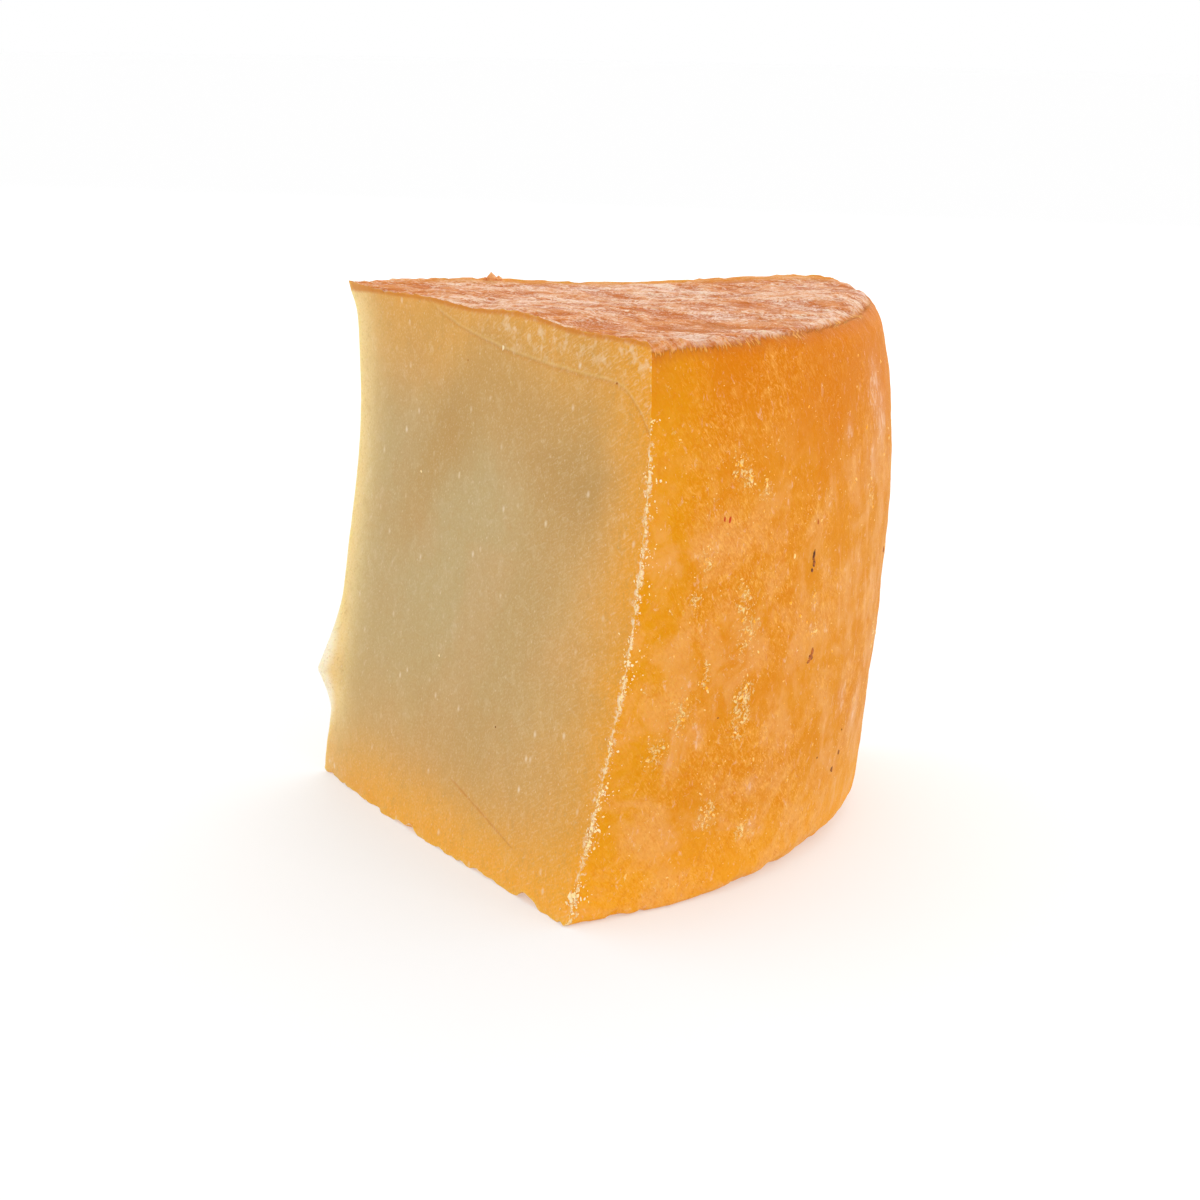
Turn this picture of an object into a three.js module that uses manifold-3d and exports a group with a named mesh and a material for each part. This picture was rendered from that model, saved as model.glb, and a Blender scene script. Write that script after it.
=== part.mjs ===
// A wedge cut from a small smoked, pressed cheese wheel.
//
// The wheel is a turned solid with a barrel-shaped rim. Two knife cuts run from the rim to the wheel's
// axis and free the wedge: the near cut leans out towards its foot, and the far cut is almost upright.
// Where the cuts meet, the tip edge wanders, and a thin flap of paste stands out near its foot. The
// wedge is one piece of cheese, so it is one solid, and it stands on the wheel's flat underside.
//
// Millimetres, +Z up. The shape is built round the wheel's axis with the wedge's middle along +X, and
// is then moved so that the origin is at the middle of its footprint, on the surface it stands on.

import * as THREE from 'three';
import { mergeVertices } from 'three/addons/utils/BufferGeometryUtils.js';
import Module from 'manifold-3d';

// The wheel.
const WHEEL_HEIGHT = 90;
const TOP_RADIUS = 91.5; // where the rim would meet the top, with no rounding
const BELLY_RADIUS = 95; // the rim's widest place
const BASE_RADIUS = 90.5; // where the rim would meet the underside
const BELLY_HEIGHT = 57; // how far up the widest place is
const TOP_ROUNDING = 3;
const BASE_ROUNDING = 2;
const RIM_WAVE = 0.3; // how far the rind swells and dips
const TOP_WAVE = 0.6;
const TIP_DROP = 0.3; // the top corner of the tip has sunk
const TIP_DROP_REACH = 9;

// The two cuts.
const CUT_HALF_ANGLE = THREE.MathUtils.degToRad(35);
const NEAR_LEAN_AT_TIP = 5; // how far the near cut's foot stands out from its top, at the tip
const NEAR_LEAN_AT_RIM = 11.2;
const NEAR_BOW = 1.7; // how far the near cut's foot bows out between the tip and the rim
const FAR_LEAN = 1.3;
const TIP_HOLLOW = 1.3; // the tip edge is hollow higher up
const TIP_HOLLOW_HEIGHT = 65;
const TIP_HOLLOW_REACH = 20;
const CUT_WAVE = 0.45; // how far the knife wandered from a plane
const FLAP_REACH = 3.2; // how far the flap of paste on the tip edge stands out of the near cut
const FLAP_HEIGHT = 19.5;
const FLAP_ABOVE = 15; // how far the flap tapers off upwards and downwards
const FLAP_BELOW = 8;
const FLAP_ROOT = 2.5; // the flap runs out into the near cut within this much of the wheel's axis

// How finely the surfaces are divided.
const WHEEL_STEPS = 200;
const RIM_STEPS = 16;
const ROUNDING_STEPS = 5;
const TOP_STEPS = 14;
const CUT_COLUMNS = 56;
const CUT_ROWS = 48;

const paste = new THREE.MeshStandardMaterial({ color: 0xe39a3e, roughness: 0.5, metalness: 0 });

const wasm = await Module();
wasm.setup();

// A closed three.js geometry as a solid, and a solid as a three.js geometry.
function solidOf(geometry) {
  const bare = geometry.clone();
  bare.deleteAttribute('normal');
  bare.deleteAttribute('uv');
  const merged = mergeVertices(bare, 1e-4);
  return new wasm.Manifold(new wasm.Mesh({
    numProp: 3,
    vertProperties: merged.attributes.position.array,
    triVerts: new Uint32Array(merged.index.array),
  }));
}

function geometryOf(solid) {
  const mesh = solid.getMesh();
  const geometry = new THREE.BufferGeometry();
  geometry.setAttribute('position', new THREE.BufferAttribute(new Float32Array(mesh.vertProperties), 3));
  geometry.setIndex(new THREE.BufferAttribute(new Uint32Array(mesh.triVerts), 1));
  geometry.computeVertexNormals();
  return geometry;
}

// Moves each vertex of a geometry by what shift(x, y, z) returns.
function warp(geometry, shift) {
  const places = geometry.attributes.position;
  const point = new THREE.Vector3();
  for (let i = 0; i < places.count; i++) {
    point.fromBufferAttribute(places, i);
    point.add(shift(point));
    places.setXYZ(i, point.x, point.y, point.z);
  }
  return geometry;
}

// The rim's radius at a height: two arcs of a parabola that meet at the belly.
function rimRadius(z) {
  const above = z > BELLY_HEIGHT;
  const edge = above ? TOP_RADIUS : BASE_RADIUS;
  const span = above ? WHEEL_HEIGHT - BELLY_HEIGHT : BELLY_HEIGHT;
  const share = (z - BELLY_HEIGHT) / span;
  return BELLY_RADIUS - (BELLY_RADIUS - edge) * share ** 2;
}

// Half of the wheel's section, from the underside's centre round the rim to the top's centre.
function wheelProfile() {
  const outline = [new THREE.Vector2(0, 0)];
  const corner = (x, z, radius, start) => {
    for (let i = 0; i <= ROUNDING_STEPS; i++) {
      const turn = start + (i / ROUNDING_STEPS) * (Math.PI / 2);
      outline.push(new THREE.Vector2(x + radius * Math.cos(turn), z + radius * Math.sin(turn)));
    }
  };
  const foot = BASE_ROUNDING;
  const shoulder = WHEEL_HEIGHT - TOP_ROUNDING;
  corner(rimRadius(foot) - foot, foot, foot, -Math.PI / 2);
  for (let i = 1; i < RIM_STEPS; i++) {
    const z = THREE.MathUtils.lerp(foot, shoulder, i / RIM_STEPS);
    outline.push(new THREE.Vector2(rimRadius(z), z));
  }
  corner(rimRadius(shoulder) - TOP_ROUNDING, shoulder, TOP_ROUNDING, 0);
  const topEdge = rimRadius(shoulder) - TOP_ROUNDING;
  for (let i = 1; i <= TOP_STEPS; i++) {
    outline.push(new THREE.Vector2(topEdge * (1 - i / TOP_STEPS), WHEEL_HEIGHT));
  }
  return outline;
}

// The whole wheel. Its rind swells and dips a little, more towards the top, and its underside is flat.
function wheel() {
  const turned = new THREE.LatheGeometry(wheelProfile(), WHEEL_STEPS);
  turned.rotateX(Math.PI / 2);
  return warp(turned, ({ x, y, z }) => {
    const radius = Math.hypot(x, y);
    const angle = Math.atan2(y, x);
    const raised = THREE.MathUtils.smoothstep(z, 0, 12);
    const swell = RIM_WAVE * raised * (radius / BELLY_RADIUS) ** 3
      * (Math.sin(5 * angle + z / 21 + 2.4) + 0.6 * Math.sin(9 * angle - z / 13 - 2));
    const rise = TOP_WAVE * THREE.MathUtils.smoothstep(z, WHEEL_HEIGHT - TOP_ROUNDING, WHEEL_HEIGHT)
      * (Math.sin(x / 11 + 0.4) * Math.cos(y / 15 - 1.3) + 0.5 * Math.sin(x / 6 - y / 8 + 2.5));
    const drop = z > WHEEL_HEIGHT / 2 ? TIP_DROP * Math.exp(-((radius / TIP_DROP_REACH) ** 2)) : 0;
    return new THREE.Vector3(swell * Math.cos(angle), swell * Math.sin(angle), rise - drop);
  });
}

// How far each cut stands out from an upright plane through the wheel's axis, at a distance from the
// axis along the cut and a height.
function nearCut(along, z) {
  const down = Math.max(0, 1 - z / WHEEL_HEIGHT);
  const out = THREE.MathUtils.clamp(along / TOP_RADIUS, 0, 1);
  const lean = NEAR_LEAN_AT_TIP * down ** 2 * (1 - out) + NEAR_LEAN_AT_RIM * down ** 1.2 * out
    + NEAR_BOW * down ** 2 * Math.sin(Math.PI * out);
  const wander = CUT_WAVE * out * (Math.sin(along / 13 + z / 24) + 0.5 * Math.sin(z / 11 - along / 19));
  const hollow = TIP_HOLLOW * (1 - out) ** 3 * Math.exp(-(((z - TIP_HOLLOW_HEIGHT) / TIP_HOLLOW_REACH) ** 2));
  const above = z > FLAP_HEIGHT;
  const flapShare = THREE.MathUtils.clamp(Math.abs(z - FLAP_HEIGHT) / (above ? FLAP_ABOVE : FLAP_BELOW), 0, 1);
  const root = 1 - THREE.MathUtils.smoothstep(along, -FLAP_ROOT, FLAP_ROOT);
  return lean + wander - hollow + FLAP_REACH * (1 - flapShare) ** 1.4 * root;
}

function farCut(along, z) {
  const down = Math.max(0, 1 - z / WHEEL_HEIGHT);
  const out = THREE.MathUtils.clamp(along / TOP_RADIUS, 0, 1);
  return FAR_LEAN * down ** 2 + CUT_WAVE * out * (Math.sin(along / 16 - z / 20) + 0.5 * Math.sin(z / 12 + 1));
}

// What a cut takes away: a block whose inner face is the cut. side is -1 for the near cut and 1 for
// the far one. Its columns crowd together at the tip, where the cut bends most.
function cutAway(standsOut, side) {
  const half = 1.2 * BELLY_RADIUS;
  const block = new THREE.BoxGeometry(2, half, 1.2 * WHEEL_HEIGHT, CUT_COLUMNS, 1, CUT_ROWS);
  block.translate(0, half / 2, WHEEL_HEIGHT / 2);
  warp(block, ({ x, y, z }) => {
    const along = half * Math.sign(x) * Math.abs(x) ** 1.5;
    const innerFace = y < half / 2;
    return new THREE.Vector3(along - x, innerFace ? standsOut(along, z) : 0, 0);
  });
  if (side < 0) {
    block.scale(1, -1, 1);
    const index = block.index.array;
    for (let i = 0; i < index.length; i += 3) [index[i], index[i + 1]] = [index[i + 1], index[i]];
  }
  block.rotateZ(side * CUT_HALF_ANGLE);
  return solidOf(block);
}

function wedge() {
  const cut = solidOf(wheel()).subtract(cutAway(nearCut, -1)).subtract(cutAway(farCut, 1));
  return geometryOf(cut);
}

const cheeseWedge = new THREE.Mesh(wedge(), paste);
cheeseWedge.name = 'cheese_wedge';
cheeseWedge.geometry.computeBoundingBox();
const middle = cheeseWedge.geometry.boundingBox.getCenter(new THREE.Vector3());
cheeseWedge.position.set(-middle.x, -middle.y, 0);

const part = new THREE.Group();
part.add(cheeseWedge);

export default part;
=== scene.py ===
import math
import random

import bmesh
import bpy
from bpy.props import FloatProperty, FloatVectorProperty, IntProperty, PointerProperty
from mathutils import Matrix, Vector, noise


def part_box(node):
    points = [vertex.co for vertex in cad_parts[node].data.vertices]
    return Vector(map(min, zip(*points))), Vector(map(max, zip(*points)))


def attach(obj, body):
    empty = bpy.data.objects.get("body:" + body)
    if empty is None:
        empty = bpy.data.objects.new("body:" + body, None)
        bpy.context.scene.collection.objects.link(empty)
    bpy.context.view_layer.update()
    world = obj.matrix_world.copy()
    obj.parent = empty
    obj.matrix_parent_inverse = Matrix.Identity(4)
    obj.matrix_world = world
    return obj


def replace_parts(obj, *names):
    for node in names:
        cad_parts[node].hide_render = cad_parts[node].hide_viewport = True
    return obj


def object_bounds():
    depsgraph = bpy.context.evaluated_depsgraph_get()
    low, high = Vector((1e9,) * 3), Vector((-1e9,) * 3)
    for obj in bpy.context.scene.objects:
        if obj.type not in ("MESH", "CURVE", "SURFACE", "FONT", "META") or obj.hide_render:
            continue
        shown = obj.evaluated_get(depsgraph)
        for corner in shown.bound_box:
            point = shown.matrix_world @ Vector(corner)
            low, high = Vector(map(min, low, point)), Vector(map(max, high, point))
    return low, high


bl_info = {
    "name": "Smoked Cheese Wedge",
    "version": (1, 0, 0),
    "blender": (4, 5, 0),
    "location": "View3D > Sidebar > Cheese",
    "description": "Builds a wedge of smoked pressed cheese: the paste, the rind, the crumbs and a studio",
    "category": "Add Mesh",
}

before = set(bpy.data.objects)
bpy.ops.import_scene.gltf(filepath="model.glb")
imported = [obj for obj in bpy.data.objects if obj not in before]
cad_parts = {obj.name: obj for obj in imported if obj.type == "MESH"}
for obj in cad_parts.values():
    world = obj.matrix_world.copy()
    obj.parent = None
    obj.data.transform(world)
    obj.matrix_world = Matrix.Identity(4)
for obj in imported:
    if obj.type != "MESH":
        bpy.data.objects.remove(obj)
CAD_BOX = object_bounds()
NODE_LOW, NODE_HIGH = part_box("cheese_wedge")

MM = 0.001

# Shares of the way out that count as on the rim and as at the tip, because a mesh rounds what it is given.
AT_RIM = 0.999
AT_TIP = 1e-5
# How much the mesh's faces crowd towards its edges: out from the tip, up, and round from cut to cut.
CROWD_OUT, CROWD_UP, CROWD_TURN = 0.45, 0.35, 0.45
# Two faces that meet at more than this have a sharp edge between them.
SHARP = math.radians(50)
# The wedge's material slots.
PASTE, RIND, UNDERSIDE = range(3)
# How far red, green and blue light spread under the rind, in millimetres.
RIND_SPREAD = (6, 2.2, 0.6)


def display(red, green, blue):
    """A colour given as it looks on a display, from 0 to 255, as the scene's own numbers."""
    return tuple(((c / 255 + 0.055) / 1.055) ** 2.4 for c in (red, green, blue))


def length(name, description, default):
    return FloatProperty(name=name, description=description, default=default * MM, unit="LENGTH")


def angle(name, description, default):
    return FloatProperty(name=name, description=description, default=math.radians(default), unit="ROTATION")


def colour(name, description, red, green, blue):
    return FloatVectorProperty(
        name=name, description=description, default=display(red, green, blue), subtype="COLOR", min=0, max=1
    )


# ---- What a user would change ----


class WheelSizes(bpy.types.PropertyGroup):
    """The wheel that the wedge is cut from."""

    height: length("Height", "How tall the wheel is", 90)
    top_radius: length("Top radius", "Where the rim would meet the top with no rounding", 91.5)
    belly_radius: length("Belly radius", "The rim's widest place", 95)
    base_radius: length("Base radius", "Where the rim would meet the underside", 90.5)
    belly_height: length("Belly height", "How far up the widest place is", 57)
    top_rounding: length("Top rounding", "Radius of the rounding round the top", 3)
    base_rounding: length("Base rounding", "Radius of the rounding round the underside", 2)
    rim_wave: length("Rim wave", "How far the rind swells and dips", 0.3)
    top_wave: length("Top wave", "How far the top rises and dips", 0.6)
    tip_drop: length("Tip drop", "How far the top corner of the tip has sunk", 0.3)


class CutSizes(bpy.types.PropertyGroup):
    """The two knife cuts and the flap of paste where they meet."""

    half_angle: angle("Half angle", "Half of the angle between the cuts", 35)
    near_lean_at_tip: length("Near lean at tip", "How far the near cut's foot stands out at the tip", 5)
    near_lean_at_rim: length("Near lean at rim", "How far the near cut's foot stands out at the rim", 11.2)
    near_bow: length("Near bow", "How far the near cut's foot bows out in between", 1.7)
    far_lean: length("Far lean", "How far the far cut's foot stands out", 1.3)
    tip_hollow: length("Tip hollow", "How hollow the upper part of the tip edge is", 1.3)
    wave: length("Wave", "How far the knife wandered from a plane", 0.45)
    flap_reach: length("Flap reach", "How far the flap of paste stands out", 3.2)
    flap_height: length("Flap height", "How far up the flap's point is", 19.5)


class PasteColours(bpy.types.PropertyGroup):
    """The cut paste, from its pale middle to the smoked edge under the rind."""

    middle: colour("Middle", "Paste well away from the rind", 190, 166, 118)
    rose: colour("Rose", "The slightly rosier patches", 200, 162, 114)
    # Also painted shade: the darker band along a shallow valley across the cut.
    dull_and_shade: colour("Dull", "The duller patches", 188, 148, 88)
    smoked: colour("Smoked", "Paste right under the rind", 240, 159, 12)
    # Foot is painted bounce light from the floor on the lowest paste.
    foot: colour("Foot", "Paste right over the foot", 250, 178, 64)
    # Tip is painted backlight shining through the thin paste at the tip edge.
    tip: colour("Tip", "The thin edge where the cuts meet", 237, 209, 146)
    speck: colour("Speck", "The small pale crystals", 247, 234, 206)
    # Also the painted shadow in the groove under the drag line's crest.
    skin_edge: colour("Skin edge", "The skin of the top where a cut lays it bare", 198, 118, 40)


class RindColours(bpy.types.PropertyGroup):
    """The rind, from the amber next to a cut to the brown of the top."""

    orange: colour("Orange", "Most of the rim", 221, 140, 24)
    amber: colour("Amber", "The rim next to a cut", 225, 150, 10)
    # Also painted shade under the overhanging lip, with the rind's own darker colour there.
    deep: colour("Deep", "The darker patches, and the rim under the lip", 214, 120, 2)
    # Foot is painted bounce light from the floor on the lowest rind.
    foot: colour("Foot", "The foot of the rim", 252, 174, 40)
    straw: colour("Straw", "The lightest grain of the rim", 248, 184, 92)
    # Also the colour of the painted sheen streaks across the middle of the rim.
    bloom_and_sheen: colour("Bloom", "The thin pale bloom on the rim", 240, 180, 118)
    skin: colour("Skin", "The wrinkled skin on top", 216, 136, 74)
    # Also painted shade in the skin's wrinkles and under the lip's hem.
    furrow: colour("Furrow", "The bottom of the skin's wrinkles", 194, 104, 36)
    # Painted sheen on the top's skin, and the pale chalk on the rim.
    frost_and_sheen: colour("Frost", "The pale bloom on the top", 250, 228, 208)
    flake: colour("Flake", "Scuffed flakes", 255, 228, 160)
    crumb: colour("Crumb", "Dry crumbs along the edges", 250, 230, 190)
    soot: colour("Soot", "Specks of soot", 74, 42, 28)
    scald: colour("Scald", "The small reddish mark", 200, 70, 16)


class StudioSettings(bpy.types.PropertyGroup):
    """The camera and the light."""

    azimuth: angle("Azimuth", "How far round from the front the camera stands", 21.23)
    elevation: angle("Elevation", "How far above the level the camera stands", 13.21)
    roll: angle("Roll", "How far the camera is tipped to one side", 1.11)
    distance: length("Distance", "From the camera to the point it looks at", 467.4)
    lens: FloatProperty(name="Lens", description="Focal length in millimetres", default=80.56, unit="CAMERA")
    key: FloatProperty(name="Key", description="Strength of the main light", default=1.5, unit="POWER")
    back: FloatProperty(name="Back", description="Strength of the light behind", default=3.0, unit="POWER")
    world: FloatProperty(name="Surroundings", description="Strength of the white surroundings", default=1.0)


# Scuffed places on the rim: arc from the near cut, height and spread, in millimetres.
SCUFFS = (
    (18, 71, 1.8), (20, 68, 1.3), (24, 66, 1.6), (12, 57, 1.4), (11, 51, 1.3), (21, 50, 2.0), (23, 44, 2.6),
    (15, 38, 1.5), (11.5, 33, 2.2), (24, 34, 2.4), (24, 29, 1.9), (8, 27, 2.0), (21, 15, 2.2), (29, 11, 1.6),
    (40.5, 46, 1.1), (41, 41, 0.9),
    (62, 60, 1.8), (74, 33, 2.2), (88, 66, 2.0), (97, 42, 2.4), (101, 20, 2.0), (83, 14, 1.7),
)
# Chalky places, in the same way.
CHALK = (
    (64, 77, 3.0), (69, 71, 3.2), (63, 65, 1.8), (50, 72, 1.2), (29, 18, 1.2), (55, 27, 1.6), (64, 22, 2.2),
    (40.8, 45, 0.7), (40.4, 41, 0.6), (31, 11, 0.9), (16, 28, 1.0), (11, 25, 0.8), (86, 30, 3.0),
    (99, 73, 3.2),
)
# Specks of soot and the reddish mark: arc, height, half height and half width. A negative arc is the distance
# from the rim on the near cut.
SOOT = (
    (-9.2, 83.2, 0.2, 0.11), (-54.0, 81.0, 0.16, 0.08), (-33.0, 24.0, 0.12, 0.06),
    (39, 53.6, 1.0, 0.22), (39.3, 52.3, 0.8, 0.26), (38.9, 51.2, 0.5, 0.22), (41.2, 37.6, 0.85, 0.3),
    (40.9, 36.6, 0.6, 0.42), (40.3, 36.0, 0.35, 0.36), (39.5, 59, 0.55, 0.12), (54.5, 14, 0.6, 0.42),
    (56.6, 16.5, 0.5, 0.26), (19.2, 31, 0.15, 0.13), (56.5, 20.5, 0.2, 0.13), (47.5, 18, 0.15, 0.12),
    (78, 47, 0.6, 0.2), (92, 25, 0.3, 0.2), (104, 58, 0.5, 0.16),
)
SCALD = ((15.0, 62.9, 0.55, 0.15), (16.2, 62.6, 0.75, 0.18))
# Crystals that stand out on the near cut: height, distance from the rim and half width.
CRYSTALS = ((4.4, 0.5, 0.5), (5.2, 0.4, 0.42), (84.5, 42, 0.42), (60, 70, 0.3), (31, 55, 0.25))
# Curls of skin on top: distance along the far cut, distance in from it, and half width.
CURLS = ((24, 2, 1.1), (25.3, 2.4, 0.8), (22.9, 2.2, 0.6), (71, 9, 0.5), (58, 30, 0.4))

# The smallest and the largest half width of a crumb and of a flake, in millimetres.
CRUMB_SIZES, FLAKE_SIZES = (0.075, 0.24), (0.07, 0.3)
# The share of the crumbs that lie on the rim's side of the edge; the others lie on the near cut.
CRUMBS_ON_RIM = 0.66
# How far up the rim bits may lie, clear of the two roundings, in millimetres.
BITS_LOWEST, BITS_HIGHEST = 1.0, 88.5
# How thick the specks of soot are, by half, in millimetres.
SOOT_THICKNESS = 0.16
# The camera aims this far to the right of the wedge's middle and behind it, and this share of its height up.
AIM_RIGHT, AIM_BEHIND, AIM_UP = 3.4 * MM, 2.3 * MM, 0.411
# Each lamp's name, its place from under the middle of the wedge, and its width, in metres.
LAMPS = (("key", (0.75, -0.35, 0.75), 0.5), ("back", (-0.15, 0.9, 0.55), 0.9))
FLOOR_RADIUS, FLOOR_GAP = 4, 0.05 * MM
FLOOR_GREY, FLOOR_GLOW = 0.6, 0.36
SENSOR_WIDTH = 36
WHITE = (1, 1, 1, 1)

# ---- The wedge's shape ----


def ease(low, high, value):
    """0 at low, 1 at high, and smooth in between; high may be the lower of the two."""
    share = min(max((value - low) / (high - low), 0.0), 1.0)
    return share * share * (3 - 2 * share)


class WedgeShape:
    """Where each place on the wedge lies, from the wheel's axis, in metres.

    A place is its share of the way out from the tip, its share of the turn from the near cut to the far
    one, and its height.
    """

    def __init__(self, wheel, cuts):
        self.wheel = wheel
        self.cuts = cuts
        cosine, sine = math.cos(cuts.half_angle), math.sin(cuts.half_angle)
        self.near_way, self.near_out = Vector((cosine, -sine, 0)), Vector((-sine, -cosine, 0))
        self.far_way, self.far_out = Vector((cosine, sine, 0)), Vector((-sine, cosine, 0))
        self.levels = {}

    def rim_radius(self, z):
        """The barrel shape of the rim: widest at the belly, and a parabola above and below it."""
        w = self.wheel
        above = z > w.belly_height
        edge = w.top_radius if above else w.base_radius
        span = w.height - w.belly_height if above else w.belly_height
        return w.belly_radius - (w.belly_radius - edge) * ((z - w.belly_height) / span) ** 2

    def shares(self, along, z):
        """How far down the wheel a place on a cut is, and how far out along the cut, from 0 to 1."""
        return (min(max(share, 0), 1) for share in (1 - z / self.wheel.height, along / self.wheel.top_radius))

    def near_cut(self, along, z):
        """How far the near cut stands out from an upright plane through the axis."""
        c = self.cuts
        down, out = self.shares(along, z)
        lean = (
            c.near_lean_at_tip * down**2 * (1 - out)
            + c.near_lean_at_rim * down**1.2 * out
            + c.near_bow * down**2 * math.sin(math.pi * out)
        )
        wander = c.wave * out * (
            math.sin(along / (13 * MM) + z / (24 * MM)) + 0.5 * math.sin(z / (11 * MM) - along / (19 * MM))
        )
        hollow = c.tip_hollow * (1 - out) ** 3 * math.exp(-(((z - 65 * MM) / (20 * MM)) ** 2))
        lip = 1.2 * MM * (1 - out) ** 8 * math.exp(-(((self.wheel.height - z) / (3.5 * MM)) ** 2))
        taper = 15 * MM if z > c.flap_height else 8 * MM
        flap = (1 - min(abs(z - c.flap_height) / taper, 1)) ** 1.4 * (1 - ease(-2.5 * MM, 2.5 * MM, along))
        return lean + wander - hollow + lip + c.flap_reach * flap

    def far_cut(self, along, z):
        """How far the far cut stands out from an upright plane through the axis."""
        c = self.cuts
        down, out = self.shares(along, z)
        wander = math.sin(along / (16 * MM) - z / (20 * MM)) + 0.5 * math.sin(z / (12 * MM) + 1)
        return c.far_lean * down**2 + c.wave * out * wander

    def tip(self, z):
        """The tip edge, where the two cuts meet."""
        near, far = 0.0, 0.0
        for _ in range(4):
            stand_near, stand_far = self.near_cut(near, z), self.far_cut(far, z)
            point = Vector((
                -(stand_near + stand_far) / (2 * math.sin(self.cuts.half_angle)),
                (stand_far - stand_near) / (2 * math.cos(self.cuts.half_angle)),
                z,
            ))
            near, far = point.dot(self.near_way), point.dot(self.far_way)
        return point, near, far

    def level(self, z):
        """The tip at a height, and for each cut where it starts and ends and where it meets the rim."""
        if z not in self.levels:
            tip, *starts = self.tip(z)
            radius = self.rim_radius(z)
            cuts = []
            for start, cut in zip(starts, (self.near_cut, self.far_cut)):
                end = radius
                for _ in range(2):
                    end = math.sqrt(radius**2 - cut(end, z) ** 2)
                cuts.append((start, end))
            near_rim, far_rim = (self.on_cut(side, 1, z, *ends) for side, ends in enumerate(cuts))
            self.levels[z] = tip, cuts, near_rim, far_rim
        return self.levels[z]

    def on_cut(self, side, share, z, start, end):
        """A place on a cut, at a share of the way from the tip to the rim. Side 0 is near and 1 is far."""
        cut, way, outward = (
            (self.near_cut, self.near_way, self.near_out), (self.far_cut, self.far_way, self.far_out)
        )[side]
        along = start + (end - start) * share
        return way * along + outward * cut(along, z) + Vector((0, 0, z))

    def place(self, share, turn, z):
        """A place on the wedge. Inside, it strays from a straight wedge as much as the two cuts do."""
        tip, (near, far), near_rim, far_rim = self.level(z)
        if turn <= 0:
            return self.on_cut(0, share, z, *near)
        if turn >= 1:
            return self.on_cut(1, share, z, *far)
        first, last = math.atan2(near_rim.y, near_rim.x), math.atan2(far_rim.y, far_rim.x)
        round_by = first + (last - first) * turn
        radius = self.rim_radius(z)
        rim = Vector((radius * math.cos(round_by), radius * math.sin(round_by), z))
        if share >= 1:
            return rim
        near_stray = self.on_cut(0, share, z, *near) - tip.lerp(near_rim, share)
        far_stray = self.on_cut(1, share, z, *far) - tip.lerp(far_rim, share)
        return tip.lerp(rim, share) + near_stray * (1 - turn) + far_stray * turn

    def swollen(self, point):
        """The point once the wheel's skin has swelled or dipped there."""
        w = self.wheel
        x, y, z = point
        radius, round_by = math.hypot(x, y), math.atan2(y, x)
        out = w.rim_wave * ease(0, 12 * MM, z) * (radius / w.belly_radius) ** 3 * (
            math.sin(5 * round_by + z / (21 * MM) + 2.4) + 0.6 * math.sin(9 * round_by - z / (13 * MM) - 2)
        )
        rise = w.top_wave * ease(w.height - w.top_rounding, w.height, z) * (
            math.sin(x / (11 * MM) + 0.4) * math.cos(y / (15 * MM) - 1.3)
            + 0.5 * math.sin(x / (6 * MM) - y / (8 * MM) + 2.5)
        )
        drop = w.tip_drop * math.exp(-((radius / (9 * MM)) ** 2)) if z > w.height / 2 else 0
        return point + Vector((out * math.cos(round_by), out * math.sin(round_by), rise - drop))

    def corner(self, share, turn, z):
        """Rounds the section where the rim meets the top and the underside, least of all at the near cut."""
        w = self.wheel
        top_rounding = w.top_rounding * (0.35 + 1.5 * ease(0, 0.6, turn))
        base_rounding = w.base_rounding * (0.8 + 1.5 * ease(0.15, 0.5, turn))
        for rounding, up, height in ((top_rounding, 1, w.height - z), (base_rounding, -1, z)):
            radius = self.rim_radius(z)
            inward = radius * (1 - share)
            if height < rounding and inward < rounding:
                a, b = 1 - inward / rounding, 1 - height / rounding
                round_a, round_b = a * math.sqrt(1 - b * b / 2), b * math.sqrt(1 - a * a / 2)
                share = 1 - rounding * (1 - round_a) / radius
                z += up * rounding * (round_b - b)
        return share, z


def crowd(share, pull):
    """Moves evenly spaced shares towards both ends."""
    return share - pull * math.sin(2 * math.pi * share) / (2 * math.pi)


# ---- Materials ----


def operator(operation):
    """The two methods for a Python operator on a Number: one for it on the left, one for it on the right."""
    def forward(self, other):
        return self.work(operation, self, other)

    def reflected(self, other):
        return self.work(operation, other, self)

    return forward, reflected


class Number:
    """A number, colour or place that varies over a surface. Arithmetic on a number adds Math nodes."""

    __add__, __radd__ = operator("ADD")
    __sub__, __rsub__ = operator("SUBTRACT")
    __mul__, __rmul__ = operator("MULTIPLY")
    __truediv__, __rtruediv__ = operator("DIVIDE")
    __pow__, __rpow__ = operator("POWER")

    def __init__(self, finish, socket):
        self.finish = finish
        self.socket = socket

    def work(self, operation, *values):
        return self.finish.node("ShaderNodeMath", {"operation": operation}, dict(enumerate(values)))

    def absolute(self):
        return self.work("ABSOLUTE", self)

    def above(self, floor):
        """The number, or floor where it is less."""
        return self.work("MAXIMUM", self, floor)

    def ease(self, low, high):
        """0 below low, 1 above high, and smooth in between; high may be the lower of the two."""
        return self.finish.node(
            "ShaderNodeMapRange",
            {"interpolation_type": "SMOOTHSTEP"},
            {"Value": self, "From Min": low, "From Max": high},
        )


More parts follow.
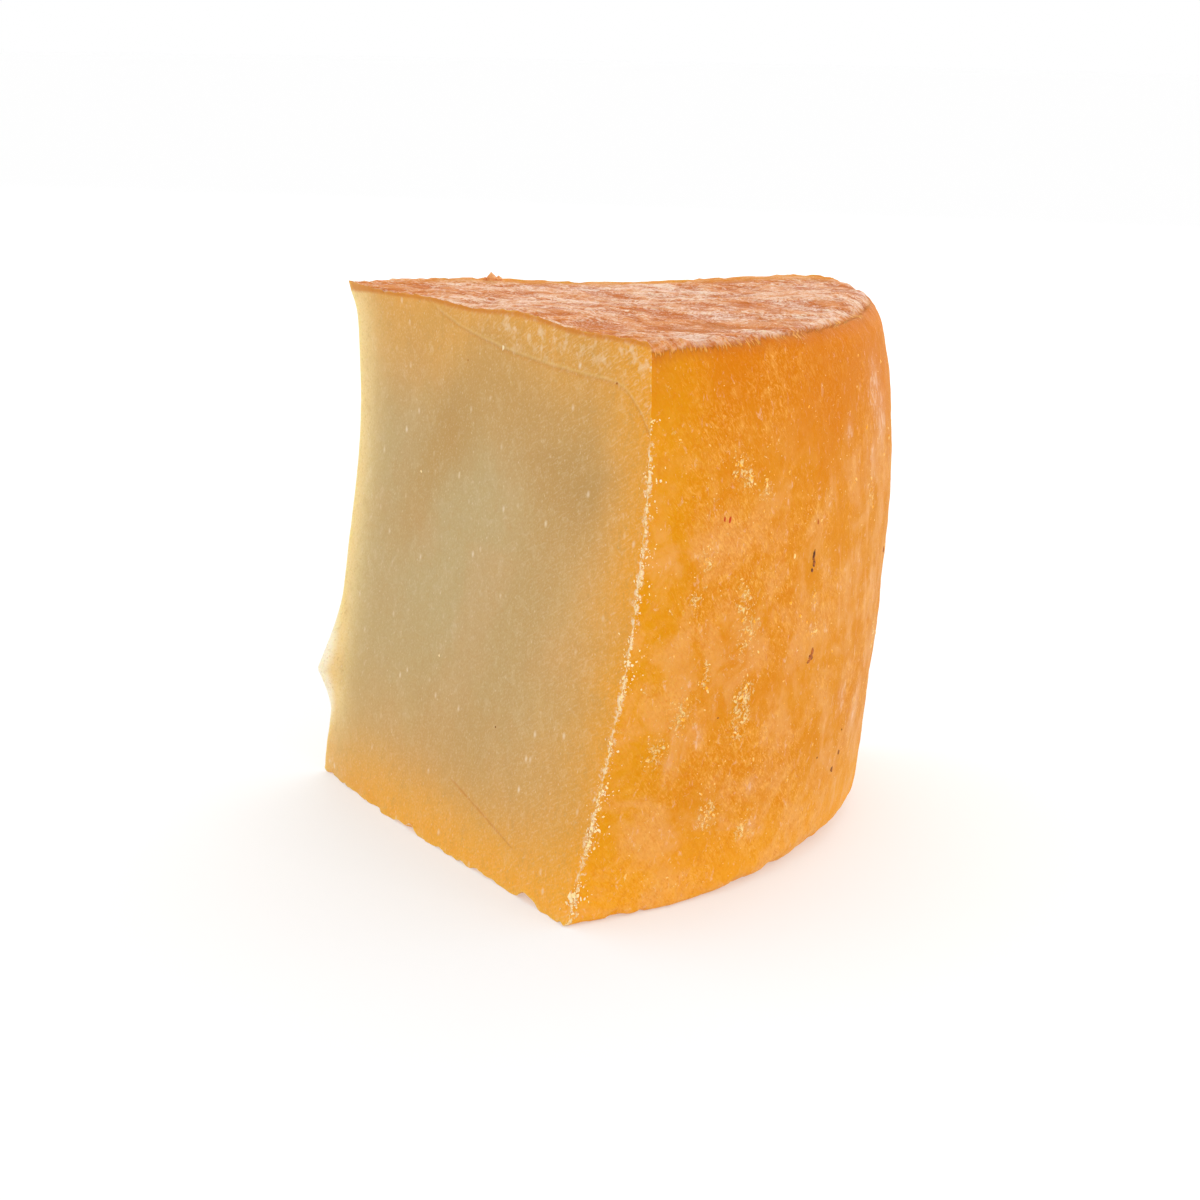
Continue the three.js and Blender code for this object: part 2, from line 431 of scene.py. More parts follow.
class Finish:
    """A material as it is put together. axis is where the wheel's axis stands."""

    def __init__(self, name, axis=(0, 0, 0)):
        self.axis = axis
        self.material = bpy.data.materials.new(name)
        self.material.use_nodes = True
        self.tree = self.material.node_tree
        self.tree.nodes.clear()

    def node(self, kind, settings=None, inputs=None, output=0):
        """Adds a node: its settings first, then the values or links of its sockets."""
        made = self.tree.nodes.new(kind)
        for name, value in (settings or {}).items():
            setattr(made, name, value)
        for name, value in (inputs or {}).items():
            if isinstance(value, Number):
                self.tree.links.new(value.socket, made.inputs[name])
            else:
                made.inputs[name].default_value = value
        return Number(self, made.outputs[output]) if made.outputs else None

    def places(self, stretch=(1, 1, 1)):
        """Places on the piece in millimetres from the wheel's axis, squeezed by stretch."""
        at = self.node("ShaderNodeTexCoord", output="Object")
        scale = [s / MM for s in stretch]
        shift = [-a * s / MM for a, s in zip(self.axis, stretch)]
        return self.node("ShaderNodeMapping", inputs={"Vector": at, "Location": shift, "Scale": scale})

    def part(self, vector, index):
        """One of a vector's three parts."""
        return self.node("ShaderNodeSeparateXYZ", inputs={0: vector}, output=index)

    def together(self, x, y):
        """A vector of two parts."""
        return self.node("ShaderNodeCombineXYZ", inputs={0: x, 1: y})

    def vector(self, operation, *values, output=0):
        return self.node("ShaderNodeVectorMath", {"operation": operation}, dict(enumerate(values)), output)

    def laid_on(self, *names):
        """Numbers that the mesh carries."""
        return [self.node("ShaderNodeAttribute", {"attribute_name": name}, output="Fac") for name in names]

    def noise(self, places, size, detail=2.0, roughness=0.5, distortion=0.0):
        """Noise whose features are about size millimetres across."""
        return self.node(
            "ShaderNodeTexNoise",
            inputs={
                "Vector": places, "Scale": 1 / size, "Detail": detail,
                "Roughness": roughness, "Distortion": distortion,
            },
            output="Fac",
        )

    def cells(self, places, size):
        """Distance to the nearest of scattered points that are about size millimetres apart."""
        inputs = {"Vector": places, "Scale": 1 / size}
        return self.node("ShaderNodeTexVoronoi", inputs=inputs, output="Distance")

    def mix(self, factor, first, second):
        """Goes from the first colour to the second, each of which varies or is a property's plain colour."""
        first, second = (c if isinstance(c, Number) else (*c, 1) for c in (first, second))
        return self.node("ShaderNodeMix", {"data_type": "RGBA"}, {0: factor, 6: first, 7: second}, output=2)

    def coats(self, colour, *coats):
        """Lays coats over a colour, in order. A coat is how much of it shows and its own colour."""
        for amount, coat in coats:
            colour = self.mix(amount, colour, coat)
        return colour

    def surface(self, colour, roughness, specular, bump, scatter=0, radii=(1, 1, 1)):
        """Ends the material. bump, a height, and radii, how far light spreads inside, are in millimetres."""
        inputs = {
            "Base Color": colour,
            "Roughness": roughness,
            "Specular IOR Level": specular,
            "Subsurface Weight": scatter,
            "Subsurface Radius": [radius * MM for radius in radii],
            "Subsurface Scale": 1,
            "Normal": self.node("ShaderNodeBump", inputs={"Height": bump, "Distance": MM, "Strength": 1}),
        }
        return self.end(inputs)

    def end(self, inputs):
        """Ends the material with a Principled surface."""
        shader = self.node("ShaderNodeBsdfPrincipled", inputs=inputs)
        self.node("ShaderNodeOutputMaterial", inputs={"Surface": shader})
        return self.material


def paste_finish(colours, axis):
    """Cut paste: pale in the middle and orange towards the rind, with fine grain, crystals and drag lines."""
    f = Finish("cut_paste", axis)
    at, tall = f.places(), f.places((1, 1, 0.7))
    side, height = f.part(at, 1), f.part(at, 2)
    along = f.vector("LENGTH", f.vector("MULTIPLY", at, (1, 1, 0)), output="Value")
    near = 1 - side.ease(-1, 1)
    smoke, backlight, from_rim, under_top = f.laid_on("smoke", "tip_glow", "from_rim", "under_top")

    # Broad colour, with painted bounce light from the floor lifting the paste over the foot.
    cloud = f.noise(at, 30, 2, 0.5, 0.6)
    drift = f.noise(tall, 12, 3, 0.55, 0.5)
    reach = smoke + (drift - 0.5) * 0.2 * (1 - (smoke * 2 - 1).absolute())
    rose = f.noise(at, 22, 2, 0.5, 0.8).ease(0.42, 0.7)
    # The darker band along this line is painted shade of a shallow valley in the cut; the cloud patches are
    # the paste's own uneven tone.
    band_height = 78 - 27 * along.ease(48, 13) - 0.35 * (along - 50).above(0)
    dull_and_shade = (1 - (height - band_height).absolute().ease(1, 16)) * along.ease(8, 30) * along.ease(92, 78)
    base = f.coats(
        colours.middle,
        (rose * 0.42, colours.rose),
        (reach, colours.smoked),
        (height.ease(15, -3) * along.ease(-20, 30) * 0.56, colours.foot),
        (dull_and_shade * 0.6 + cloud.ease(0.36, 0.75) * height.ease(2, 22) * 0.4, colours.dull_and_shade),
        # Painted backlight: the thin paste at the tip and the flap are paled as if lit through from behind.
        (backlight.ease(0.0, 1.05) * (0.3 + 0.7 * height.ease(3, 16)), colours.tip),
        (backlight.ease(1.0, 1.7), colours.speck),
    )

    # The drag line that the knife left, with slightly rougher paste above it, a painted highlight on its
    # crest and a painted shadow in the groove under it, and a scratch near the foot.
    line = 83 - 5 * (1 - near) + 6.5 * math.e ** ((26 - along) / 16) - 0.048 * (along - 82).above(0) ** 2
    over = height - line + (f.noise(at, 7, 2) - 0.5) * 0.5
    above = over.ease(-0.2, 1.4) * along.ease(24, 40)
    strong = along.ease(22, 34) * (0.4 + 0.6 * near)
    crest = (1 - (over - 0.25).absolute().ease(0, 0.5)) * strong
    shaded_ditch = (1 - (over + 0.25).absolute().ease(0, 0.55)) * strong
    scratch_over = (height - (23.4 - 0.235 * along)).absolute() + (f.noise(at, 5, 2) - 0.5).absolute() * 0.6
    scratch = (1 - scratch_over.ease(0.05, 0.4)) * along.ease(47, 50) * along.ease(72, 69) * near

    # Grain, crystals, the dry edge next to the rind, and the skin of the top where it is cut through.
    grain = f.noise(at, 0.4, 2, 0.6)
    curd = f.noise(f.places((1, 1, 0.85)), 2.2, 4, 0.6, 0.5)
    dragged = f.together((along + height * 0.55) * 0.45, (height - along * 0.55) * 2.2)
    drag = f.noise(dragged, 1.0, 3, 0.6, 0.3)
    ribs = 0.05 + 0.22 * above + 0.12 * along.ease(45, 75)
    uneven = f.noise(at, 11, 2).ease(0.3, 0.6)
    big = (1 - f.cells(tall, 3.9).ease(0.0, 0.16)) * uneven
    small = 1 - f.cells(tall, 1.5).ease(0.05, 0.13)
    crystals = big * 0.55 + small * 0.26
    blots = f.noise(at, 2.3, 3, 0.6).ease(0.52, 0.68) * under_top.ease(9, 1) * along.ease(30, 55)
    dry = (f.noise(at, 1.2, 4, 0.65) - from_rim / 7 - height.ease(72, 83) * 0.13).ease(0.4, 0.56)
    skin_edge = (1.1 + backlight.ease(0, 1) * 0.8 - under_top).ease(0, 0.8)
    base = f.coats(
        base,
        # Painted highlight on the drag line's crest and painted shadow in the groove under it.
        (crest * 0.22, colours.tip),
        (shaded_ditch * 0.2, colours.skin_edge),
        (scratch * 0.4, colours.skin_edge),
        (grain.ease(0.5, 0.8) * 0.2 + curd.ease(0.5, 0.75) * 0.1, colours.speck),
        ((1 - grain).ease(0.5, 0.8) * 0.42 + (1 - curd).ease(0.5, 0.75) * 0.22, colours.dull_and_shade),
        (drag.ease(0.5, 0.8) * ribs, colours.speck),
        ((1 - drag).ease(0.5, 0.8) * ribs * 0.8, colours.skin_edge),
        (crystals, colours.speck),
        (blots * 0.34, colours.speck),
        (dry * 0.6, colours.speck),
        (skin_edge * 0.75, colours.skin_edge),
    )

    bump = grain * 0.05 + curd * 0.12 + crystals * 0.06 + dry * 0.05 + above * (drag * 0.1 + 0.03)
    bump = bump + crest * 0.09 - shaded_ditch * 0.08 - scratch * 0.06
    return f.surface(base, 0.46 + curd * 0.2, 0.05, bump, 0.35, (3.6, 2.4, 1.2))


def rind_finish(colours, wheel, axis):
    """Smoked rind: orange, fibrous and scuffed round the rim, brown and wrinkled on top."""
    f = Finish("smoked_rind", axis)
    at = f.places()
    height = f.part(at, 2)
    from_cut, from_rim, fold, scuff, chalk = f.laid_on("from_cut", "from_rim", "fold", "scuff", "chalk")
    under_lip = wheel.height / MM - height

    # The rim's broad colour. Under the lip it darkens, partly the rind's own darker colour and partly painted
    # shade from the overhanging lip.
    cloud = f.noise(at, 24, 3, 0.55, 0.5)
    patch = f.noise(at, 8, 4, 0.6, 0.5)
    mottle = f.noise(at, 2.4, 3, 0.6, 0.4)
    sheen_streak = f.noise(f.places((1, 1, 0.22)), 2.6, 4, 0.6, 0.5)
    corner = under_lip.ease(34, 12) * from_cut.ease(22, 46) * (0.35 + 0.9 * cloud)
    # The pale patches are the rind's own powdery coat; the streaks towards the middle of the rim are painted
    # sheen.
    bloom_and_sheen = (1 - patch).ease(0.42, 0.64) * 0.36 + sheen_streak.ease(0.5, 0.72) * from_cut.ease(24, 62) * 0.5
    rim = f.coats(
        colours.orange,
        (cloud.ease(0.4, 0.7) * 0.36 + patch.ease(0.5, 0.72) * 0.22, colours.deep),
        (under_lip.ease(22, 2) * 0.85, colours.deep),
        (corner * 0.8, colours.deep),
        (from_cut.ease(16, 1) * 0.85, colours.amber),
        (from_cut.ease(9, 0) * under_lip.ease(16, 3) * 0.3, colours.furrow),
        # Painted bounce light from the floor lightens the foot of the rim.
        (height.ease(20, 0) * 0.62, colours.foot),
        (bloom_and_sheen * under_lip.ease(8, 34), colours.bloom_and_sheen),
    )

    # Fibres, grain, pale specks that are painted glints, worn places, powder, and the dry edge next to the
    # cut.
    across, athwart = from_cut * 0.8 + height * 0.6, height * 0.8 - from_cut * 0.6
    fibre = f.noise(f.together(across * 2.6, athwart * 0.8), 1.0, 3, 0.65, 1.1)
    grain = f.noise(at, 0.5, 2, 0.6)
    rough = (0.34 + 0.9 * f.noise(at, 13, 3).ease(0.4, 0.62)) * (0.45 + 0.55 * from_cut.ease(0, 16))
    rough = rough * (1 - corner * 0.5)
    light = grain.ease(0.5, 0.72) * 0.22 + fibre.ease(0.5, 0.7) * 0.46 + mottle.ease(0.5, 0.75) * 0.3
    dark = ((1 - grain).ease(0.5, 0.72) * 0.22 + (1 - fibre).ease(0.5, 0.7) * 0.4) * rough
    # Pale specks painted in for glints on the grain.
    specks = (1 - f.cells(at, 1.25).ease(0.05, 0.13)) * f.noise(at, 6, 3).ease(0.4, 0.62)
    specks = specks * from_cut.ease(-6, 18)
    worn = (f.noise(at, 0.95, 5, 0.75, 0.7) + scuff * 0.15).ease(0.63, 0.73)
    powder = (f.noise(f.places((1, 1, 0.6)), 1.3, 5, 0.75, 0.6) + chalk * 0.11).ease(0.57, 0.72)
    dry = (f.noise(at, 0.9, 4, 0.7) - from_cut / 6 - height.ease(72, 83) * 0.2).ease(0.4, 0.54)
    rim = f.coats(
        rim,
        (dark + (1 - mottle).ease(0.52, 0.74) * 0.26, colours.deep),
        (light * rough, colours.straw),
        (specks * 0.75, colours.flake),
        (worn * 0.75, colours.flake),
        (chalk * 0.12 + powder * 0.32, colours.frost_and_sheen),
        (dry * 0.7, colours.crumb),
    )

    # The skin of the top: furrows, painted sheen where grazing light catches its crests, hairs along its hem,
    # and painted backlight along the thin edge by the far cut.
    crinkle = f.noise(f.places((0.8, 1, 1)), 1.5, 4, 0.7, 1.4)
    veins = f.noise(at, 0.62, 3, 0.65, 1.0)
    sheen = f.noise(f.places((0.7, 1.2, 1)), 14, 4, 0.62, 1.2)
    lip = 1 - from_rim.ease(0.4, 4.5)
    painted_sheen = 0.35 + (sheen - 0.5) * 2.1 + (fold - 0.5) * 0.2 + (crinkle - 0.5) * 1.8 + (veins - 0.5) * 2.2
    painted_sheen = painted_sheen + lip * 0.16 + from_cut.ease(18, 60) * from_rim.ease(26, 6) * 0.25
    hairs = f.noise(f.together(from_cut * 2.2 + height * 0.5, height * 0.4), 1.0, 3, 0.6, 0.6)
    hem = under_lip.ease(0.5, 1.6) + from_rim.ease(2.0, 0.2) * 0.6
    far = f.part(at, 1).ease(0, 12)
    # The furrows are darker partly by the skin's own colour and partly as painted shade in the wrinkles.
    skin = f.coats(
        colours.furrow,
        ((fold * 0.6 + crinkle * 0.5).ease(0.36, 0.7), colours.skin),
        (painted_sheen.ease(0.05, 1.0) * (0.8 - 0.6 * hem), colours.frost_and_sheen),
        (hairs.ease(0.5, 0.64) * hem * 0.5, colours.straw),
        # Painted backlight shining through the thin edge of the top by the far cut.
        (from_cut.ease(9, 1) * (0.1 + 0.66 * far), colours.orange),
    )

    # The skin laps over on to the rim, and a painted shadow darkens the rim just under its hem.
    over = 1.3 - under_lip + (f.noise(at, 6, 3) - 0.5) * 1.6 + (hairs - 0.5) * 3.6
    on_top = over.ease(-0.15, 0.4)
    base = f.coats(rim, (over.ease(-2.2, 0) * 0.45, colours.furrow), (on_top, skin))
    rim_bump = fibre * 0.1 + grain * 0.04 + mottle * 0.2 + patch * 0.4 + (worn + specks) * 0.04 + dry * 0.06
    bump = rim_bump * (1 - on_top) + (crinkle * 0.5 + veins * 0.16 + 0.2) * on_top
    return f.surface(base, 0.42 + patch * 0.2 + on_top * 0.1, 0.04, bump, 0.2, RIND_SPREAD)


def underside_finish(colours, axis):
    """The underside, pressed flat, with the faint print of the cloth that the wheel was pressed in."""
    f = Finish("pressed_underside", axis)
    at = f.places()
    patch = f.noise(at, 12, 4, 0.6, 0.6)
    grain = f.noise(at, 0.6, 3, 0.6)
    weave = 0
    for stretch in ((1, 0, 0), (0, 1, 0)):
        weave += 0.5 * f.node(
            "ShaderNodeTexWave",
            {"wave_type": "BANDS", "bands_direction": "DIAGONAL"},
            {"Vector": f.places(stretch), "Scale": 0.55, "Distortion": 1.2, "Detail": 2, "Detail Scale": 2},
            output="Fac",
        )
    base = f.coats(
        colours.orange,
        (patch.ease(0.35, 0.7), colours.deep),
        (weave.ease(0.35, 0.9) * 0.35, colours.bloom_and_sheen),
        ((1 - grain).ease(0.5, 0.8) * 0.4, colours.skin),
    )
    bump = weave * 0.15 + grain * 0.06 + patch * 0.3
    return f.surface(base, 0.5 + grain * 0.2, 0.25, bump, 0.2, RIND_SPREAD)


def bit_finish(name, axis, light, dark):
    """Loose bits on the surface: crumbs, flakes or specks, light on some and darker on others."""
    f = Finish(name, axis)
    shade = f.noise(f.places(), 1.1, 3, 0.65)
    grain = f.noise(f.places(), 0.3, 2, 0.6)
    return f.surface(f.mix(shade.ease(0.34, 0.62), light, dark), 0.6 + grain * 0.2, 0.25, grain * 0.04)


# ---- Pieces ----


def stand(name, data):
    """Puts an object into the scene."""
    thing = bpy.data.objects.new(name, data)
    bpy.context.scene.collection.objects.link(thing)
    return thing


def stand_mesh(name, mesh, materials):
    """Puts a finished mesh into the scene."""
    data = bpy.data.meshes.new(name)
    mesh.to_mesh(data)
    mesh.free()
    for material in materials:
        data.materials.append(material)
    return stand(name, data)


def put_in(name, mesh, materials):
    """Makes a piece of a finished mesh, which rides with the wedge."""
    piece = stand_mesh(name, mesh, materials)
    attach(piece, "root")
    return piece


def put_bits(name, mesh, finish):
    """Makes a piece of loose bits, which are closed shells."""
    bmesh.ops.recalc_face_normals(mesh, faces=mesh.faces)
    put_in(name, mesh, [finish])


def wheel_axis(shape):
    """Where the wheel's axis stands in the frame: the wedge's own box is centred on the CAD node's box."""
    steps = 90
    points = []
    for i in range(steps + 1):
        z = shape.wheel.height * i / steps
        for j in range(steps + 1):
            share, rounded = shape.corner(1, j / steps, z)
            points.append(shape.swollen(shape.place(share, j / steps, rounded)))
        points.append(shape.swollen(shape.tip(z)[0]))
    middle = [(min(p[i] for p in points) + max(p[i] for p in points)) / 2 for i in range(2)]
    centre = (NODE_LOW + NODE_HIGH) / 2
    return Vector((centre.x - middle[0], centre.y - middle[1], 0))


def wedge_of(scene):
    """The wedge's shape as the scene's settings have it, and where the wheel's axis stands."""
    shape = WedgeShape(scene.cheese_wheel, scene.cheese_cuts)
    return shape, wheel_axis(shape)


def wrinkle(point, size, aside=0.0):
    """Smooth noise from -1 to 1, whose features are about size millimetres across."""
    return noise.noise(point / (size * MM) + Vector((aside, 2 * aside, 3 * aside)))


def rim_relief(point):
    """How far the rim's rind stands out, in millimetres."""
    return 0.2 * wrinkle(point, 9) + 0.13 * wrinkle(point, 3.6, 1) + 0.06 * wrinkle(point, 1.8, 2)


def cut_relief(point):
    """How far the cut paste stands out, in millimetres."""
    return 0.05 * wrinkle(point, 6) + 0.03 * wrinkle(point, 2.2, 1)


def skin_fold(point):
    """The folds of the skin on top, from 0 in a furrow to 1 on a crest."""
    stray = Vector((wrinkle(point, 8, 1), wrinkle(point, 8, 2), 0)) * (4 * MM)
    bent = point + stray
    bent.x *= 0.75
    wide, narrow = abs(wrinkle(bent, 6.5)), abs(wrinkle(bent, 2.6, 1))
    return min(max(1 - 1.7 * wide - 0.9 * narrow, 0), 1)


def lip_relief(point, from_rim):
    """How far the top stands up close to the rim, in millimetres."""
    return 0.5 * math.exp(-(((from_rim - 1.8) / 1.5) ** 2)) * (0.35 + wrinkle(point, 4.5, 3))


def edge_relief(point, from_edge):
    """How rough the surface is close to a cut edge, in millimetres."""
    return math.exp(-from_edge / 1.5) * (0.36 * wrinkle(point, 2.1, 4) + 0.26 * wrinkle(point, 1.1, 5))


def chipped_foot(point, edges):
    """The shift that nibbles the foot's edges. An edge is its way out and how far inside it the point is."""
    shift = Vector((0, 0, 0))
    fade = math.exp(-point.z / (2.4 * MM))
    notch = max(wrinkle(point, 5, 7) - 0.22, 0)
    for outward, inside in edges:
        amount = 0.45 * wrinkle(point, 7, 6) + 0.3 * wrinkle(point, 2.4, 8) - 1.5 * notch
        shift += outward * (amount * MM * fade * math.exp(-inside / 2.6))
    lift = max(2.2 * wrinkle(point, 8, 9) + 1.5 * wrinkle(point, 3, 10) + notch, 0)
    shift.z = lift * MM * fade * math.exp(-min(inside for _, inside in edges) / 1.8)
    return shift


def spread(marks, arc, height):
    """How strongly the marks show at an arc from the near cut and a height, both in millimetres."""
    total = 0.0
    for mark_arc, mark_height, size in marks:
        off = math.hypot(arc - mark_arc, (height - mark_height) * 0.62)
        total += math.exp(-((off / size) ** 2))
    return min(total, 1.0)


def smoke_at(from_rim, under_top, height, from_tip):
    """How far the paste is smoked, from 0 to 1, at distances in millimetres."""
    by_rim = 0.97 * math.exp(-((from_rim / 15) ** 1.1))
    by_top = 0.52 * math.exp(-((under_top / 17) ** 3)) + 0.1 * math.exp(-under_top / 4)
    by_foot = 0.78 * math.exp(-((height / 14) ** 1.5)) * (1 - 0.35 * math.exp(-((from_tip / 22) ** 2)))
    return 1 - (1 - by_rim) * (1 - by_top) * (1 - by_foot)


def painted_tip_backlight_at(from_tip, over_flap):
    """How much painted backlight shines through the thin paste at the tip edge, and past 1 on the flap, at
    distances in millimetres.
    """
    flap = math.exp(-((over_flap / 8) ** 2)) * math.exp(-((from_tip / 2.5) ** 2))
    return math.exp(-((from_tip / 7.5) ** 1.35)) + 1.1 * flap


def sheet_of_section(columns, rows, wheel):
    """The wheel's section as a flat sheet: x is the share of the way out and z the height."""
    mesh = bmesh.new()
    bmesh.ops.create_grid(mesh, x_segments=columns, y_segments=rows, size=1)
    for vertex in mesh.verts:
        out, up = (vertex.co.x + 1) / 2, (vertex.co.y + 1) / 2
        vertex.co = Vector((crowd(out, CROWD_OUT), 0, wheel.height * crowd(up, CROWD_UP)))
    return mesh


def spun_section(columns, rows, turns, wheel, sweep):
    """A wedge with a unit radius: two sheets of the section, and their outline spun from one to the other."""
    mesh = sheet_of_section(columns, rows, wheel)
    outline = [e for e in mesh.edges if e.is_boundary and max(v.co.x for v in e.verts) > 0.1 * MM]
    far_sheet = bmesh.ops.duplicate(mesh, geom=list(mesh.faces))["geom"]
    far_verts = [g for g in far_sheet if isinstance(g, bmesh.types.BMVert)]
    bmesh.ops.rotate(mesh, verts=far_verts, cent=(0, 0, 0), matrix=Matrix.Rotation(sweep, 3, "Z"))
    ends = {v for e in outline for v in e.verts}
    bmesh.ops.spin(
        mesh, geom=[*ends, *outline], cent=(0, 0, 0), axis=(0, 0, 1), dvec=(0, 0, 0),
        angle=sweep, steps=turns, use_merge=False, use_duplicate=False,
    )
    bmesh.ops.remove_doubles(mesh, verts=mesh.verts, dist=0.02 * MM)
    return mesh


class CHEESE_OT_wedge(bpy.types.Operator):
    """Build the wedge: a spun section with two cut faces, bent to shape and roughened"""

    bl_idname = "cheese.wedge"
    bl_label = "Wedge"

    columns: IntProperty(name="Columns", description="Faces from the tip to the rim", default=118)
    rows: IntProperty(name="Rows", description="Faces from the foot to the top", default=116)
    turns: IntProperty(name="Turns", description="Faces from the near cut to the far one", default=150)

    def execute(self, context):
        scene = context.scene
        wheel, cuts = scene.cheese_wheel, scene.cheese_cuts
        shape, axis = wedge_of(scene)
        sweep = 2 * cuts.half_angle
        mesh = spun_section(self.columns, self.rows, self.turns, wheel, sweep)
        laid = {
            name: mesh.verts.layers.float.new(name)
            for name in ("smoke", "tip_glow", "from_cut", "from_rim", "under_top", "fold", "scuff", "chalk")
        }

        spots = []
        for vertex in mesh.verts:
            x, y, z = vertex.co
            share = min(math.hypot(x, y), 1.0)
            turn = min(max(math.atan2(y, x) / sweep, 0), 1) if share > AT_TIP else 0.0
            turn = crowd(turn, CROWD_TURN) if 1e-6 < turn < 1 - 1e-6 else round(turn)
            rounded_share, rounded_z = shape.corner(share, turn, z)
            vertex.co = shape.swollen(shape.place(rounded_share, turn, rounded_z))

            radius = shape.rim_radius(z)
            from_rim, height = radius * (1 - share) / MM, z / MM
            under_top, from_tip = wheel.height / MM - height, radius * share / MM
            to_near, to_far = (radius * share * math.sin(t * sweep) / MM for t in (turn, 1 - turn))
            numbers = {
                "smoke": smoke_at(from_rim, under_top, height, from_tip),
                "tip_glow": painted_tip_backlight_at(from_tip, height - cuts.flap_height / MM),
                "from_cut": min(to_near, to_far),
                "from_rim": from_rim,
                "under_top": under_top,
                "fold": skin_fold(vertex.co) if under_top < 4 else 0.5,
            }
            if share > AT_RIM:
                arc = turn * sweep * radius / MM
                numbers["from_cut"] = min(turn, 1 - turn) * sweep * radius / MM
                numbers["scuff"], numbers["chalk"] = (spread(marks, arc, height) for marks in (SCUFFS, CHALK))
            for name, number in numbers.items():
                vertex[laid[name]] = number
            spots.append((share, turn, from_rim, to_near, to_far, under_top))

        bmesh.ops.recalc_face_normals(mesh, faces=mesh.faces)
        mesh.normal_update()
        for vertex, (share, turn, from_rim, to_near, to_far, under_top) in zip(mesh.verts, spots):
            at = vertex.co.copy()
            # Nothing is roughened at the very foot, where the wedge stands.
            steady = ease(0.0, 2.0, at.z / MM)
            on_top = ease(3.0, 0.6, under_top)
            if 0 < turn < 1 or share > AT_RIM:
                relief = rim_relief(at) * (1 - on_top)
                relief += (0.42 * (vertex[laid["fold"]] - 0.5) + lip_relief(at, from_rim)) * on_top
                from_edge = min(to_near, to_far) + (from_rim if under_top > 0.01 else 0)
            else:
                relief, from_edge = cut_relief(at), min(from_rim, under_top * 2)
            relief += edge_relief(at, from_edge)
            vertex.co += vertex.normal * (relief * steady * MM)
            radial = Vector((at.x, at.y, 0)).normalized() if share > AT_TIP else Vector((0, 0, 0))
            edges = (radial, from_rim), (shape.near_out, to_near), (shape.far_out, to_far)
            vertex.co += chipped_foot(at, edges)

        mesh.verts.index_update()
        for face in mesh.faces:
            face.smooth = True
            around = [spots[v.index] for v in face.verts]
            if any(all(turn == end or share < AT_TIP for share, turn, *_ in around) for end in (0, 1)):
                face.material_index = PASTE
            else:
                flat = all(vertex.co.z < 0.05 * MM for vertex in face.verts)
                face.material_index = UNDERSIDE if flat else RIND
        for edge in mesh.edges:
            first, second = edge.link_faces
            edge.smooth = first.material_index == second.material_index and edge.calc_face_angle(0) <= SHARP
        bmesh.ops.translate(mesh, verts=mesh.verts, vec=axis)
        finishes = [
            paste_finish(scene.cheese_paste, axis),
            rind_finish(scene.cheese_rind, wheel, axis),
            underside_finish(scene.cheese_rind, axis),
        ]
        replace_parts(put_in("cut_wedge", mesh, finishes), "cheese_wedge")
        return {"FINISHED"}


def bit(mesh, at, out, long, wide, thick, chance, lie=None):
    """Adds one irregular bit, flattened against the surface that it lies on. Sizes are halves, in metres."""
    made = bmesh.ops.create_icosphere(mesh, subdivisions=1, radius=1)["verts"]
    lie = chance.uniform(0, math.tau) if lie is None else lie
    turned = out.to_track_quat("Z", "Y").to_matrix() @ Matrix.Rotation(lie, 3, "Z")
    for vertex in made:
        x, y, z = vertex.co
        vertex.co = at + turned @ Vector((x * long, y * wide, z * thick)) * chance.uniform(0.6, 1.3)


def on_rim(shape, arc, height):
    """The place on the rim at an arc from the near cut and a height in millimetres, and the way out of it."""
    z = min(max(height, BITS_LOWEST), BITS_HIGHEST) * MM
    turn = max(arc * MM / (2 * shape.cuts.half_angle * shape.rim_radius(z)), 1e-4)
    point = shape.place(1, min(turn, 1 - 1e-4), z)
    out = Vector((point.x, point.y, 0)).normalized()
    point = shape.swollen(point)
    return point + out * (rim_relief(point) * MM), out


def on_near_cut(shape, from_rim, height):
    """The place on the near cut at a distance from the rim and a height in millimetres."""
    z = height * MM
    point = shape.swollen(shape.place(1 - from_rim * MM / shape.rim_radius(z), 0, z))
    return point + shape.near_out * (cut_relief(point) * MM), shape.near_out


